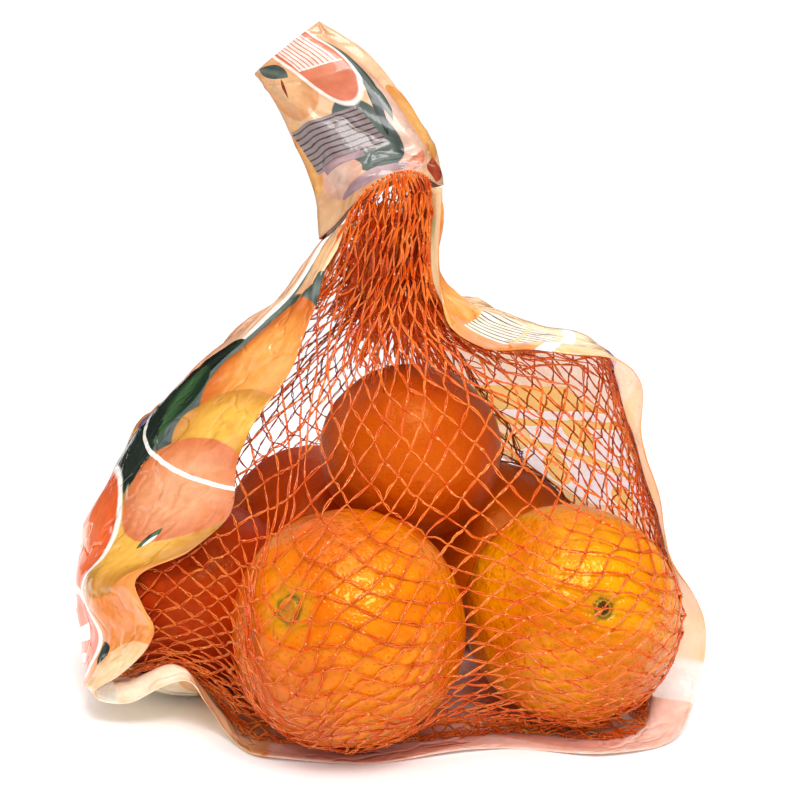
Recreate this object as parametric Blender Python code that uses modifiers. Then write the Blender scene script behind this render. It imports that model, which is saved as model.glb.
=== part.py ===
"""A net of oranges: six oranges in a knitted net, carried by one glossy film band.

The band runs down the left side, under the fruit and up the right side, and the net closes the
front and the back. Above the fruit both are gathered into a neck, and the folded end of the
film makes a header to carry the bag by. Sizes are in millimetres, -Y is the front, and the
meshes are in metres with +Z up. The origin lies on the floor under the middle of the bag's box.
"""
import math

import bpy
import bmesh
import numpy as np
from mathutils import Vector
from mathutils.bvhtree import BVHTree

MM = 0.001
NECK_X = 8.46           # the neck's axis lies this far right of the middle of the box
NECK_Y = -0.3

FILM = 0.8              # thickness of the film with its folds and trapped air
GAP = 0.6               # clearance between the film, the filled net and the header
FILM_OFF_PEEL = 1.6     # the film's inner face keeps this far from the oranges
FILM_ROWS = 64          # mesh rows along the band
FILM_COLUMNS = 11       # mesh columns across the band
NECK_FALL = 13.0        # at the right of the neck the back edge lies this much lower than the belly
NECK_FALL_ROWS = (0.93, 1.0)    # shares of the route between which the back edge falls that far
TUCK_REACH = (0.1, 0.2, 0.55)   # shares of the width: drawn in fully from the first to the second
BACK_REACH = 1.3        # the band's back edge reaches this much further than the front edge
NET_MARGIN = 0.12       # the net is welded this share of the band's width inside its edges

NET_RINGS = 46
NET_SECTORS = 56
NET_THREAD = 0.8        # the net stands this far off the peel
NET_CENTRE = np.array((-2.0, 0.0, 52.0))
NET_START = 60.0        # the sheet starts at least this far out and is then drawn tight
NET_SWEEPS = 2500
TRIM_SWEEPS = 160       # steps in which the net is drawn in at the film's bends
TRIM_GAP = 2.1          # the net's facets keep this far inside the film at its bends
TRIM_DENSITY = 6        # film points tested against the net, along each side of a film quad
POLE_CROWDING = 1.35    # above 1 the rings crowd towards the neck

NECK_HALF = (14.5, 18.0)     # half widths of the gathered net under the header
NECK_PLANE = (184.0, 0.36)   # height of the header's lower face at x = 0, and its slope

# (x, y) of the centre, radius, and the height of the centre where it isn't on the band
ORANGES = (
    ((-17, -57), 39.6, None),   # front left
    ((60, -37), 38.0, None),    # front right
    ((-76, -9), 36.0, None),    # far left
    ((-37, 57), 40.0, None),    # back left
    ((39, 41), 37.7, None),     # back right
    ((4, 2), 34.6, 89.0),       # on top of the others
)

# The band's route: a point of its front edge, the point of its belly on the same crease, and how
# far right its back edge lies there.
BAND_LEFT = (
    ((-18, -20, 175), (-23, 0, 173), -17),
    ((-21, -24, 166), (-30, 0, 165), -22),
    ((-27, -31, 151), (-43, 0, 149), -32),
    ((-35, -39, 130), (-66, 0, 130), -50),
    ((-45, -46, 113), (-88, 2, 110), -66),
    ((-54, -51, 96), (-106, 5, 88), -80),
    ((-58, -53, 77), (-120, 5, 62), -90),
    ((-72, -49, 64), (-124, 4, 50), -93),
    ((-91, -43, 52), (-124, 2, 40), -93),
)
BAND_LIP = (
    ((-83, -53, 37), (-122, 0, 24), -92),
    ((-95, -51, 22), (-119, -4, 13), -89),
    ((-106, -46, 12), (-112, -4, 5), -84),
    ((-94, -49, 10), (-102, 0, 1), -76),
    ((-72, -53, 20), (-88, 0, 0), -66),
    ((-60, -57, 4), (-66, 0, 0), -50),
)
BAND_FLOOR = (
    ((-46, -71, 0), (-46, 0, 0), -34),
    ((-10, -75, 0), (-8, 0, 0), -6),
    ((38, -64, 0), (38, 0, 0), 28),
    ((68, -70, 0), (71, 0, 0), 52),
)
BAND_RIGHT = (
    ((93, -59, 2), (91, 0, 2), 68),
    ((105.7, -40, 14), (99, 0, 14), 74),
    ((107.7, -40, 30.4), (101, 0, 33), 72),
    ((100.6, -40, 46.8), (97, 0, 51), 60),
    ((91.3, -40, 67.3), (91, 0, 71), 42),
    ((88.2, -40, 85.8), (86, 0, 90), 32),
    ((82.1, -40, 104.3), (81, 0, 106), 19),
    ((81.1, -40, 121.7), (76, 0, 122), 6),
    ((70.7, -46, 130.6), (66, 0, 131), -1),
    ((47, -45, 131), (48, 2, 137), -5),
    ((31, -38, 131), (34, 4, 143), -7),
    ((18, -28, 138), (22, 4, 147), -9),
    ((15, -20, 150), (14, 2, 158), -12),
    ((14, -15, 187), (13, 2, 184), -15),
)
# How far the film behind its front margin is drawn in at each of those stations.
RIGHT_TUCK = (9, 15, 12.5, 7, 3, 6.5, 7, 11, 4, 0, 0, 0, 4.5, 4.5)

# The header's sections: left and right end of the section line, and half the thickness.
HEADER = (
    ((-26, 176), (16, 191), 18),
    ((-33, 190), (14, 200), 15),
    ((-40, 205), (9, 211), 12),
    ((-46, 217), (0, 223.5), 9),
    ((-50, 224), (-12, 236), 7),
    ((-52.5, 228), (-28.5, 246.5), 5),
)
HEADER_ROWS = 13
HEADER_SIDES = 36
HEADER_PLEATS = 7       # folds gathered round the header
PLEAT_DEPTH = 0.07      # share of the section's half width
PLEAT_TURN = 0.2        # how far the folds turn from one row to the next
HEADER_FLATNESS = 0.8   # 1 for an ellipse, lower for flatter faces
SPLINE_DENSITY = 8      # points measured along a curve for each point kept


def ease(value, low, high):
    """0 below low, 1 above high and smooth between."""
    share = np.clip((value - low) / (high - low), 0.0, 1.0)
    return share * share * (3.0 - 2.0 * share)


def spline(rows, count):
    """Points on a smooth curve through the rows, spaced evenly along it."""
    rows = np.array(rows, float)
    steps = np.sqrt(np.linalg.norm(np.diff(rows, axis=0), axis=1))
    knots = np.concatenate(([0.0], np.cumsum(steps)))
    slopes = np.gradient(rows, knots, axis=0)
    fine = np.linspace(0.0, knots[-1], count * SPLINE_DENSITY)
    piece = np.clip(np.searchsorted(knots, fine, side="right") - 1, 0, len(rows) - 2)
    width = np.diff(knots)[piece]
    share = ((fine - knots[piece]) / width)[:, None]
    width = width[:, None]
    start, end = rows[piece], rows[piece + 1]
    dense = (
        (2 * share**3 - 3 * share**2 + 1) * start
        + (share**3 - 2 * share**2 + share) * width * slopes[piece]
        + (3 * share**2 - 2 * share**3) * end
        + (share**3 - share**2) * width * slopes[piece + 1]
    )
    length = np.concatenate(([0.0], np.cumsum(np.linalg.norm(np.diff(dense, axis=0), axis=1))))
    even = np.linspace(0.0, length[-1], count)
    return np.stack([np.interp(even, length, column) for column in dense.T], axis=1)


def fruit_spheres():
    """Centre and radius of each orange; those without a height rest on the band."""
    spheres = []
    for (x, y), radius, height in ORANGES:
        if height is None:
            height = FILM + GAP + NET_THREAD + radius
        spheres.append((np.array((x, y, height), float), radius))
    return spheres


def clear_of_fruit(points, clearance):
    """Push points out of the oranges, as a film is pushed out that lies over them."""
    for centre, radius in fruit_spheres():
        offset = points - centre
        distance = np.linalg.norm(offset, axis=-1, keepdims=True)
        wanted = np.maximum(distance, radius + clearance)
        points = centre + offset * wanted / np.maximum(distance, 1e-6)
    return points


def band_grid():
    """The band's inner surface as rows from the left neck round to the right neck."""
    route = BAND_LEFT + BAND_LIP + BAND_FLOOR + BAND_RIGHT
    tucks = (0,) * (len(route) - len(RIGHT_TUCK)) + RIGHT_TUCK
    stations = [(*front, *belly, back_x, tuck) for (front, belly, back_x), tuck in zip(route, tucks)]
    path = spline(stations, FILM_ROWS)
    front, belly, back_x, tuck = path[:, :3], path[:, 3:6], path[:, 6], path[:, 7:]
    fall = NECK_FALL * ease(np.linspace(0, 1, FILM_ROWS), *NECK_FALL_ROWS)
    back = np.stack((back_x, -BACK_REACH * front[:, 1], belly[:, 2] - fall), axis=1)
    across = np.linspace(0.0, 1.0, FILM_COLUMNS)[None, :, None]
    grid = (
        (1 - across) * (1 - 2 * across) * front[:, None]
        + 4 * across * (1 - across) * belly[:, None]
        + across * (2 * across - 1) * back[:, None]
    )
    drawn_in = ease(across[..., 0], 0.0, TUCK_REACH[0]) * (1 - ease(across[..., 0], *TUCK_REACH[1:]))
    grid[..., 0] -= tuck * drawn_in
    grid = clear_of_fruit(grid, FILM_OFF_PEEL)
    grid[..., 2] = np.maximum(grid[..., 2], FILM)
    return grid


def grid_faces(rows, columns, closed=False):
    """Quads between neighbouring rows of a grid, round each row too where it is closed."""
    faces = []
    for row in range(rows - 1):
        for column in range(columns if closed else columns - 1):
            after = (column + 1) % columns
            here, above = row * columns, (row + 1) * columns
            faces.append((here + column, here + after, above + after, above + column))
    return faces


def to_metres(points):
    """Points in metres about the middle of the box."""
    points = np.asarray(points, float).reshape(-1, 3) + (NECK_X, NECK_Y, 0)
    return [Vector(point * MM) for point in points]


def material(name, colour, roughness):
    """A plain Principled material."""
    made = bpy.data.materials.new(name)
    made.use_nodes = True
    shader = made.node_tree.nodes["Principled BSDF"]
    shader.inputs["Base Color"].default_value = (*colour, 1.0)
    shader.inputs["Roughness"].default_value = roughness
    shader.inputs["Metallic"].default_value = 0.0
    return made


def add_object(name, mesh, finish, collection):
    """Put a mesh in the bag's collection with its material, shaded smooth."""
    mesh.materials.append(finish)
    mesh.shade_smooth()
    made = bpy.data.objects.new(name, mesh)
    collection.objects.link(made)
    return made


def mesh_from(name, points, faces):
    """A mesh with its faces pointing the same way all over."""
    mesh = bpy.data.meshes.new(name)
    mesh.from_pydata(to_metres(points), [], faces)
    shape = bmesh.new()
    shape.from_mesh(mesh)
    bmesh.ops.recalc_face_normals(shape, faces=shape.faces)
    shape.to_mesh(mesh)
    shape.free()
    return mesh


def add_film_band(grid, collection):
    """The film as a shell, thickened away from the fruit."""
    mesh = bpy.data.meshes.new("film_band")
    mesh.from_pydata(to_metres(grid), [], grid_faces(FILM_ROWS, FILM_COLUMNS))
    band = add_object("film_band", mesh, material("film_print", (0.82, 0.45, 0.2), 0.25), collection)
    shell = band.modifiers.new("thickness", "SOLIDIFY")
    shell.thickness = FILM * MM
    shell.offset = 1.0
    return band


def film_limit(directions, grid):
    """How far the film lies in each direction, and whether the net is welded to it there."""
    tree = BVHTree.FromPolygons(
        [Vector(point) for point in grid.reshape(-1, 3)], grid_faces(FILM_ROWS, FILM_COLUMNS)
    )
    limit = np.full(directions.shape[:2], np.inf)
    welded = np.zeros(directions.shape[:2], bool)
    start = Vector(NET_CENTRE)
    for spot in np.ndindex(limit.shape):
        _, _, face, distance = tree.ray_cast(start, Vector(directions[spot]))
        if face is None:
            continue
        column = face % (FILM_COLUMNS - 1) + 0.5
        share = column / (FILM_COLUMNS - 1)
        limit[spot] = distance - GAP
        welded[spot] = NET_MARGIN < share < 1 - NET_MARGIN
    return limit, welded


def fruit_limit(directions):
    """How far the net must stay out in each direction to clear the oranges."""
    reach = np.full(directions.shape[:2], 1.0)
    for centre, radius in fruit_spheres():
        offset = centre - NET_CENTRE
        along = directions @ offset
        inside = along**2 - offset @ offset + (radius + NET_THREAD) ** 2
        reach = np.maximum(reach, np.where(inside > 0, along + np.sqrt(np.maximum(inside, 0)), 1))
    return reach


def neck_limit(directions):
    """Distance to the header's lower face, for the directions that pass through the neck."""
    height, slope = NECK_PLANE
    rise = directions[..., 2] - slope * directions[..., 0]
    reach = (height - GAP - NET_CENTRE[2] + slope * NET_CENTRE[0]) / np.maximum(rise, 1e-6)
    landing = NET_CENTRE + directions * reach[..., None]
    half_x, half_y = NECK_HALF
    within = (landing[..., 0] / half_x) ** 2 + (landing[..., 1] / half_y) ** 2 < 1
    return np.where(within & (rise > 0), reach, np.inf)


def taut_surface(theta, fruit, film, welded, neck):
    """Radius of a sheet drawn tight over the fruit, welded to the film and tied at the neck.

    The sheet's curvature is evened out in u = 1 / radius, where a flat stretch satisfies
    laplacian(u) = -2 u on the unit sphere. Fruit gives the largest u, film the smallest.
    """
    fixed = welded | np.isfinite(neck)
    anchored = np.where(np.isfinite(neck), neck, film)
    inverse = np.where(fixed, 1 / anchored, 1 / np.maximum(fruit, NET_START))
    step = np.gradient(theta)[:, None]
    sine = np.sin(theta)[:, None]
    turn = 2 * math.pi / NET_SECTORS
    weight_down = 1 / step**2
    weight_round = 1 / (sine * turn) ** 2
    drift = np.cos(theta)[:, None] / sine / (2 * step)
    for _ in range(NET_SWEEPS):
        above = np.roll(inverse, 1, axis=0)
        below = np.roll(inverse, -1, axis=0)
        above[0] = inverse[0].mean()
        below[-1] = inverse[-1].mean()
        sides = np.roll(inverse, 1, axis=1) + np.roll(inverse, -1, axis=1)
        total = weight_down * (above + below) + weight_round * sides + drift * (below - above)
        evened = total / (2 * weight_down + 2 * weight_round - 2)
        evened = np.clip(evened, 1 / np.maximum(film, fruit), 1 / fruit)
        inverse = np.where(fixed, inverse, evened)
    return 1 / inverse


def refine(grid, density):
    """Points on the facets of a grid, closer together by the given density."""
    rows, columns = grid.shape[:2]
    for axis, count in ((0, rows), (1, columns)):
        place = np.linspace(0, count - 1, (count - 1) * density + 1)
        low = np.minimum(place.astype(int), count - 2)
        share = (place - low).reshape((-1, 1, 1) if axis == 0 else (1, -1, 1))
        grid = np.take(grid, low, axis) * (1 - share) + np.take(grid, low + 1, axis) * share
    return grid.reshape(-1, 3)


def trim_to_film(radius, theta, grid):
    """Draw the net in where one of its facets would cut across a bend of the film."""
    offset = refine(grid, TRIM_DENSITY) - NET_CENTRE
    distance = np.linalg.norm(offset, axis=1)
    tilt = np.arccos(offset[:, 2] / distance)
    turn = np.arctan2(offset[:, 1], offset[:, 0]) / (2 * math.pi) * NET_SECTORS % NET_SECTORS
    ring = np.clip(np.searchsorted(theta, tilt) - 1, 0, len(theta) - 2)
    down = np.clip((tilt - theta[ring]) / (theta[ring + 1] - theta[ring]), 0, 1)
    sector = turn.astype(int)
    round_share = turn - sector
    corners = [
        (ring + low, (sector + side) % NET_SECTORS, down_share * side_share)
        for low, down_share in ((0, 1 - down), (1, down))
        for side, side_share in ((0, 1 - round_share), (1, round_share))
    ]
    for _ in range(TRIM_SWEEPS):
        inverse = sum(share / radius[i, j] for i, j, share in corners)
        excess = 1 / inverse - (distance - TRIM_GAP)
        over = excess > 0
        lowered = radius.copy()
        for i, j, _ in corners:
            spot = (i[over], j[over])
            np.minimum.at(lowered, spot, radius[spot] - excess[over] / 2)
        radius = lowered
    return radius


def add_net_body(grid, collection):
    """The filled net as one solid: a ball whose points move out to the taut surface."""
    shape = bmesh.new()
    bmesh.ops.create_uvsphere(shape, u_segments=NET_SECTORS, v_segments=NET_RINGS, radius=1.0)
    theta = math.pi * (np.arange(1, NET_RINGS) / NET_RINGS) ** POLE_CROWDING
    phi = 2 * math.pi * np.arange(NET_SECTORS) / NET_SECTORS
    directions = np.stack(
        (
            np.sin(theta)[:, None] * np.cos(phi),
            np.sin(theta)[:, None] * np.sin(phi),
            np.cos(theta)[:, None] * np.ones_like(phi),
        ),
        axis=-1,
    )
    film, welded = film_limit(directions, grid)
    radius = taut_surface(theta, fruit_limit(directions), film, welded, neck_limit(directions))
    radius = trim_to_film(radius, theta, grid)
    surface = NET_CENTRE + directions * radius[..., None]
    top = NET_CENTRE + (0, 0, neck_limit(np.array([[[0.0, 0.0, 1.0]]]))[0, 0])
    bottom = NET_CENTRE * (1, 1, 0) + (0, 0, FILM + GAP)
    for vertex in shape.verts:
        place = vertex.co.normalized()
        if abs(place.z) > 1 - 1e-6:
            target = top if place.z > 0 else bottom
        else:
            ring = round(math.acos(place.z) / math.pi * NET_RINGS) - 1
            sector = round(math.atan2(place.y, place.x) / (2 * math.pi) * NET_SECTORS)
            target = surface[ring, sector % NET_SECTORS]
        vertex.co = to_metres(target)[0]
    mesh = bpy.data.meshes.new("net_body")
    shape.to_mesh(mesh)
    shape.free()
    return add_object("net_body", mesh, material("net_thread", (0.85, 0.2, 0.02), 0.45), collection)


def add_film_header(collection):
    """The folded end of the film: pleated sections lofted from the neck to the cut end."""
    stations = [(*left, *right, thickness) for left, right, thickness in HEADER]
    rows = spline(stations, HEADER_ROWS)
    turn = 2 * math.pi * np.arange(HEADER_SIDES) / HEADER_SIDES
    flat = np.sign(np.sin(turn)) * np.abs(np.sin(turn)) ** HEADER_FLATNESS
    points = []
    for number, (left_x, left_z, right_x, right_z, thickness) in enumerate(rows):
        pleats = 1 - PLEAT_DEPTH * (1 + np.cos(HEADER_PLEATS * turn + PLEAT_TURN * number)) / 2
        across = np.cos(turn) * pleats
        x = (left_x + right_x) / 2 + (right_x - left_x) / 2 * across
        z = (left_z + right_z) / 2 + (right_z - left_z) / 2 * across
        points.append(np.stack((x, thickness * flat * pleats, z), axis=1))
    faces = grid_faces(HEADER_ROWS, HEADER_SIDES, closed=True)
    last = (HEADER_ROWS - 1) * HEADER_SIDES
    faces.append(tuple(range(HEADER_SIDES)))
    faces.append(tuple(range(last, last + HEADER_SIDES)))
    mesh = mesh_from("film_header", np.concatenate(points), faces)
    finish = material("film_header_print", (0.75, 0.5, 0.35), 0.3)
    return add_object("film_header", mesh, finish, collection)


def main():
    for old in list(bpy.data.objects):
        bpy.data.objects.remove(old, do_unlink=True)
    collection = bpy.data.collections.new("net_of_oranges")
    bpy.context.scene.collection.children.link(collection)
    grid = band_grid()
    add_film_band(grid, collection)
    add_net_body(grid, collection)
    add_film_header(collection)


main()
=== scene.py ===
"""The looks of a net of oranges: printed film, knotted net threads and six oranges.

Lengths are in millimetres and become metres when a mesh is made. -Y is the front and +Z is up.
The film runs from the left of the neck down the left side, under the fruit and up the right
side. A place on it is given by its distance along that route and its share of the way across,
from 0 at the front edge to 1 at the back edge.
"""
import math

import bpy
import bmesh
import numpy as np
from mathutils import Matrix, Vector
from mathutils.bvhtree import BVHTree


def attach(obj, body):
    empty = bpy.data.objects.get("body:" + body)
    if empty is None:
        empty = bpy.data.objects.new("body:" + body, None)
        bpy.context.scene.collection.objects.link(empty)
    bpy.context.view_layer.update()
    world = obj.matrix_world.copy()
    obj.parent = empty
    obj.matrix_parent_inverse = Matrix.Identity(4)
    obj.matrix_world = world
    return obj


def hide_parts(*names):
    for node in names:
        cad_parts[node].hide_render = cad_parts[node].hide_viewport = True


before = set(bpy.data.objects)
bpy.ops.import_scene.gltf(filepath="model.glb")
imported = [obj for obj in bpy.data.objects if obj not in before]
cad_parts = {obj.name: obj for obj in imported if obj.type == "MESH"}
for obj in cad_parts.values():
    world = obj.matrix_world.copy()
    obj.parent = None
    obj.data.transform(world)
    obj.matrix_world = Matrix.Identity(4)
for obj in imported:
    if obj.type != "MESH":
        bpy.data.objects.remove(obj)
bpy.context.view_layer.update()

MM = 0.001
NECK = np.array((8.46, -0.3, 0.0))      # the neck's axis in the frame, from which all is measured
BODY = "root"

# Oranges: centre over the floor, radius, height where it isn't on the film, tone, icosphere
# steps, direction of the stem scar, radius of the scar.
FILM_REST = 1.0         # the lowest oranges rest this high, on the film and its folds
# The tones of the top and far-left oranges are darker copies of the peel, painted shade; the tones of the two back
# oranges are brightened copies, painted light that makes up for the little light they get.
ORANGES = (
    ("orange_front_left", (-17, -57), 39.6, None, "bright", 7, (-0.464, -0.78, 0.418), 4.6),
    ("orange_front_right", (60, -37), 38.0, None, "golden", 7, (0.157, -0.927, 0.341), 3.4),
    ("orange_far_left", (-76, -9), 36.0, None, "deep", 6, (-0.3, 0.5, 0.8), 4.0),
    ("orange_back_left", (-37, 57), 40.0, None, "shade", 6, (-0.5, 0.6, 0.62), 4.5),
    ("orange_back_right", (39, 41), 37.7, None, "painted_light_peel", 6, (0.5, 0.75, 0.43), 4.2),
    ("orange_top", (4, 2), 34.6, 89.0, "middle", 6, (0.2, 0.3, 0.93), 4.0),
)

# The film's route: a point of its front edge, the point of its belly on the same crease, and how
# far right its back edge lies there.
BAND_LEFT = (
    ((-18, -20, 175), (-23, 0, 173), -17),
    ((-21, -24, 166), (-30, 0, 165), -22),
    ((-27, -31, 151), (-43, 0, 149), -32),
    ((-35, -39, 130), (-66, 0, 130), -50),
    ((-45, -46, 113), (-88, 2, 110), -66),
    ((-54, -51, 96), (-106, 5, 88), -80),
    ((-58, -53, 77), (-120, 5, 62), -90),
    ((-72, -49, 64), (-124, 4, 50), -93),
    ((-91, -43, 52), (-124, 2, 40), -93),
)
BAND_LIP = (
    ((-83, -53, 37), (-122, 0, 24), -92),
    ((-95, -51, 22), (-119, -4, 13), -89),
    ((-106, -46, 12), (-112, -4, 5), -84),
    ((-94, -49, 10), (-102, 0, 1), -76),
    ((-72, -53, 20), (-88, 0, 0), -66),
    ((-60, -57, 4), (-66, 0, 0), -50),
)
BAND_FLOOR = (
    ((-46, -71, 0), (-46, 0, 0), -34),
    ((-10, -75, 0), (-8, 0, 0), -6),
    ((38, -64, 0), (38, 0, 0), 28),
    ((68, -70, 0), (71, 0, 0), 52),
)
BAND_RIGHT = (
    ((93, -59, 2), (91, 0, 2), 68),
    ((105.7, -40, 14), (99, 0, 14), 74),
    ((107.7, -40, 30.4), (101, 0, 33), 72),
    ((100.6, -40, 46.8), (97, 0, 51), 60),
    ((91.3, -40, 67.3), (91, 0, 71), 42),
    ((88.2, -40, 85.8), (86, 0, 90), 32),
    ((82.1, -40, 104.3), (81, 0, 106), 19),
    ((81.1, -40, 121.7), (76, 0, 122), 6),
    ((70.7, -46, 130.6), (66, 0, 131), -1),
    ((47, -45, 131), (48, 2, 137), -5),
    ((31, -38, 131), (34, 4, 143), -7),
    ((18, -28, 138), (22, 4, 147), -9),
    ((15, -20, 150), (14, 2, 158), -12),
    ((14, -15, 187), (13, 2, 184), -15),
)
# How far the film behind its front margin is drawn in at each of those stations.
RIGHT_TUCK = (9, 15, 12.5, 7, 3, 6.5, 7, 11, 4, 0, 0, 0, 4.5, 4.5)
NECK_FALL = 13.0        # at the right of the neck the back edge lies this much lower than the belly
NECK_FALL_ROWS = (0.93, 1.0)    # shares of the route between which the back edge falls that far
TUCK_REACH = (0.1, 0.2, 0.55)   # shares of the width: drawn in fully from the first to the second
BACK_REACH = 1.3        # the film's back edge reaches this much further than the front edge
FILM_ROWS = 420
FILM_COLUMNS = 80
FILM_WIDTH = 185.0      # real width of the film, which the neck gathers
FILM_THICKNESS = 0.2
FILM_FLOOR = 0.4        # lowest height of the film's inner face
PEEL_CLEARANCE = 1.5    # between the film and the oranges' smooth spheres
LIP_RISE = 8.0          # the lip's margin curls down at the front by this much
LIP_START = (0.30, 0.325)
LIP_END = (0.375, 0.41)
OPAQUE_SPAN = (0.32, 0.655)     # the lip and the floor, where no light comes through the film

# The folded end of the film: left (x, z) and right (x, z) of each section, half thickness.
HEADER = (
    ((-30, 168), (16.5, 189), 21),
    ((-31, 182), (16, 194), 18.5),
    ((-34, 192), (14.5, 201), 15),
    ((-40, 205), (9, 211), 12),
    ((-46, 217), (0, 223.5), 9),
    ((-50, 224), (-12, 236), 7),
    ((-52.5, 228), (-28.5, 246.5), 5),
)

WELD = 0.10             # the net is welded this share of the width inside the film's edge
WELD_GAP = 0.5
NET_CENTRE = np.array((-2.0, 0.0, 52.0))
NET_ACROSS = 40         # half meshes of the net from weld to weld
NET_DOWN = 52           # half meshes from the neck to the floor
MESH_HEIGHTS = (17.0, 16.5, 14.0, 8.5, 6.0, 5.4)    # from the neck to the floor
GATHER = 0.42           # how strongly the net's columns crowd to the right at the neck
KNOT_STRAY = 0.35       # how far a knot lies off its even place
NET_SWEEPS = 40
LINING_ROWS = (0.985, 0.70)     # where the net lines the right film, as shares of its route
LINING_DOWN = 34
LINING_ACROSS = 30
LINING_GAP = 0.9
THREAD = 0.27           # radius of one of the two filaments of a thread
THREAD_SIDES = 3
THREAD_LIFT = 0.75      # the net's middle line stands this far off the peel


# ---------------------------------------------------------------- shapes

def unit(vectors):
    """Vectors scaled to length one."""
    return vectors / np.maximum(np.linalg.norm(vectors, axis=-1, keepdims=True), 1e-9)


def ease(value, low, high):
    """0 below low, 1 above high and smooth between."""
    share = np.clip((value - low) / (high - low), 0.0, 1.0)
    return share * share * (3.0 - 2.0 * share)


def waves(points, length, count, seed):
    """Smooth noise of about unit height: a sum of plane waves of about that wavelength."""
    random = np.random.default_rng(seed)
    axes = unit(random.normal(size=(count, points.shape[-1])))
    pitch = 2 * math.pi / length * random.uniform(0.6, 1.5, count)
    phase = random.uniform(0, 2 * math.pi, count)
    total = np.zeros(points.shape[:-1])
    for axis, rate, start in zip(axes, pitch, phase):
        total += np.sin(points @ axis * rate + start)
    return total * math.sqrt(2 / count)


def spline(rows, count):
    """Points on a smooth curve through the rows, spaced evenly along it."""
    rows = np.array(rows, float)
    steps = np.sqrt(np.linalg.norm(np.diff(rows, axis=0), axis=1))
    knots = np.concatenate(([0.0], np.cumsum(steps)))
    slopes = np.gradient(rows, knots, axis=0)
    fine = np.linspace(0.0, knots[-1], count * 8)
    piece = np.clip(np.searchsorted(knots, fine, side="right") - 1, 0, len(rows) - 2)
    width = np.diff(knots)[piece]
    share = ((fine - knots[piece]) / width)[:, None]
    width = width[:, None]
    start, end = rows[piece], rows[piece + 1]
    dense = (
        (2 * share**3 - 3 * share**2 + 1) * start
        + (share**3 - 2 * share**2 + share) * width * slopes[piece]
        + (3 * share**2 - 2 * share**3) * end
        + (share**3 - share**2) * width * slopes[piece + 1]
    )
    length = np.concatenate(([0.0], np.cumsum(np.linalg.norm(np.diff(dense, axis=0), axis=1))))
    even = np.linspace(0.0, length[-1], count)
    return np.stack([np.interp(even, length, column) for column in dense.T], axis=1)


def fruit_spheres():
    """Centre and radius of each orange."""
    spheres = []
    for _, (x, y), radius, height, *_ in ORANGES:
        if height is None:
            height = FILM_REST + radius
        spheres.append((np.array((x, y, height), float), radius))
    return spheres


def clear_of_fruit(points, clearance):
    """Push points out of the oranges."""
    for centre, radius in fruit_spheres():
        offset = points - centre
        distance = np.linalg.norm(offset, axis=-1, keepdims=True)
        wanted = np.maximum(distance, radius + clearance)
        points = centre + offset * wanted / np.maximum(distance, 1e-6)
    return points


def laid(paths):
    """Paths of threads kept off the oranges and above the film on the floor."""
    paths = clear_of_fruit(paths, THREAD + 0.32)
    paths[..., 2] = np.maximum(paths[..., 2], FILM_FLOOR + THREAD)
    return paths


def grid_faces(rows, columns):
    """Quads between neighbouring rows of a grid."""
    corner = np.arange(rows * columns).reshape(rows, columns)
    quads = np.stack((corner[:-1, :-1], corner[:-1, 1:], corner[1:, 1:], corner[1:, :-1]), axis=-1)
    return quads.reshape(-1, 4).tolist()


def add_piece(name, points, faces, materials, replaces=(), uv=None):
    """A smooth mesh in the frame, riding on the one body and what it replaces."""
    mesh = bpy.data.meshes.new(name)
    mesh.from_pydata(((np.asarray(points).reshape(-1, 3) + NECK) * MM).tolist(), [], faces)
    for finish in materials:
        mesh.materials.append(finish)
    if uv is not None:
        layer = mesh.uv_layers.new(name="print")
        corners = np.empty(len(mesh.loops), dtype=np.int32)
        mesh.loops.foreach_get("vertex_index", corners)
        layer.data.foreach_set("uv", uv.reshape(-1, 2)[corners].astype(np.float32).ravel())
    mesh.shade_smooth()
    piece = bpy.data.objects.new(name, mesh)
    bpy.context.scene.collection.objects.link(piece)
    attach(piece, BODY)
    if replaces:
        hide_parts(*replaces)
    return piece


def add_shell(piece, thickness, offset):
    """Give a sheet its thickness and its second face the second material."""
    shell = piece.modifiers.new("thickness", "SOLIDIFY")
    shell.thickness = thickness * MM
    shell.offset = offset
    shell.material_offset = 1
    shell.material_offset_rim = 0


# ---------------------------------------------------------------- film

def creases(along, across, count, seed, reach, width, height, middle=None, spread=None):
    """Sharp little ridges and dents of random direction, as handled film has."""
    random = np.random.default_rng(seed)
    total = np.zeros(np.broadcast(along, across).shape)
    for _ in range(count):
        if middle is None:
            start = random.uniform(0, along.max()), random.uniform(0, FILM_WIDTH)
        else:
            start = random.normal(middle[0], spread[0]), random.normal(middle[1], spread[1])
        turn = random.uniform(0, math.pi)
        half = random.uniform(*reach)
        flank = random.uniform(*width)
        rise = random.uniform(*height) * random.choice((-1, 1))
        bend = random.normal(0, 0.006)
        down, over = along - start[0], across - start[1]
        forward = down * math.cos(turn) + over * math.sin(turn)
        sideways = over * math.cos(turn) - down * math.sin(turn) + bend * forward**2
        window = np.clip(1 - (forward / half) ** 2, 0, 1) ** 2
        total += rise * window * np.exp(-np.abs(sideways) / flank)
    return total


def film_route():
    """Front edge, belly, back edge and tuck of the film along its route, and the route's length."""
    route = BAND_LEFT + BAND_LIP + BAND_FLOOR + BAND_RIGHT
    tucks = (0,) * (len(route) - len(RIGHT_TUCK)) + RIGHT_TUCK
    stations = [(*front, *belly, back_x, tuck) for (front, belly, back_x), tuck in zip(route, tucks)]
    path = spline(stations, FILM_ROWS)
    front, belly = path[:, :3], path[:, 3:6]
    fall = NECK_FALL * ease(np.linspace(0, 1, FILM_ROWS), *NECK_FALL_ROWS)
    back = np.stack((path[:, 6], -BACK_REACH * front[:, 1], belly[:, 2] - fall), axis=1)
    length = np.linalg.norm(np.diff(path[:, :6], axis=0), axis=1).sum() / math.sqrt(2)
    return front, belly, back, path[:, 7:], length


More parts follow.
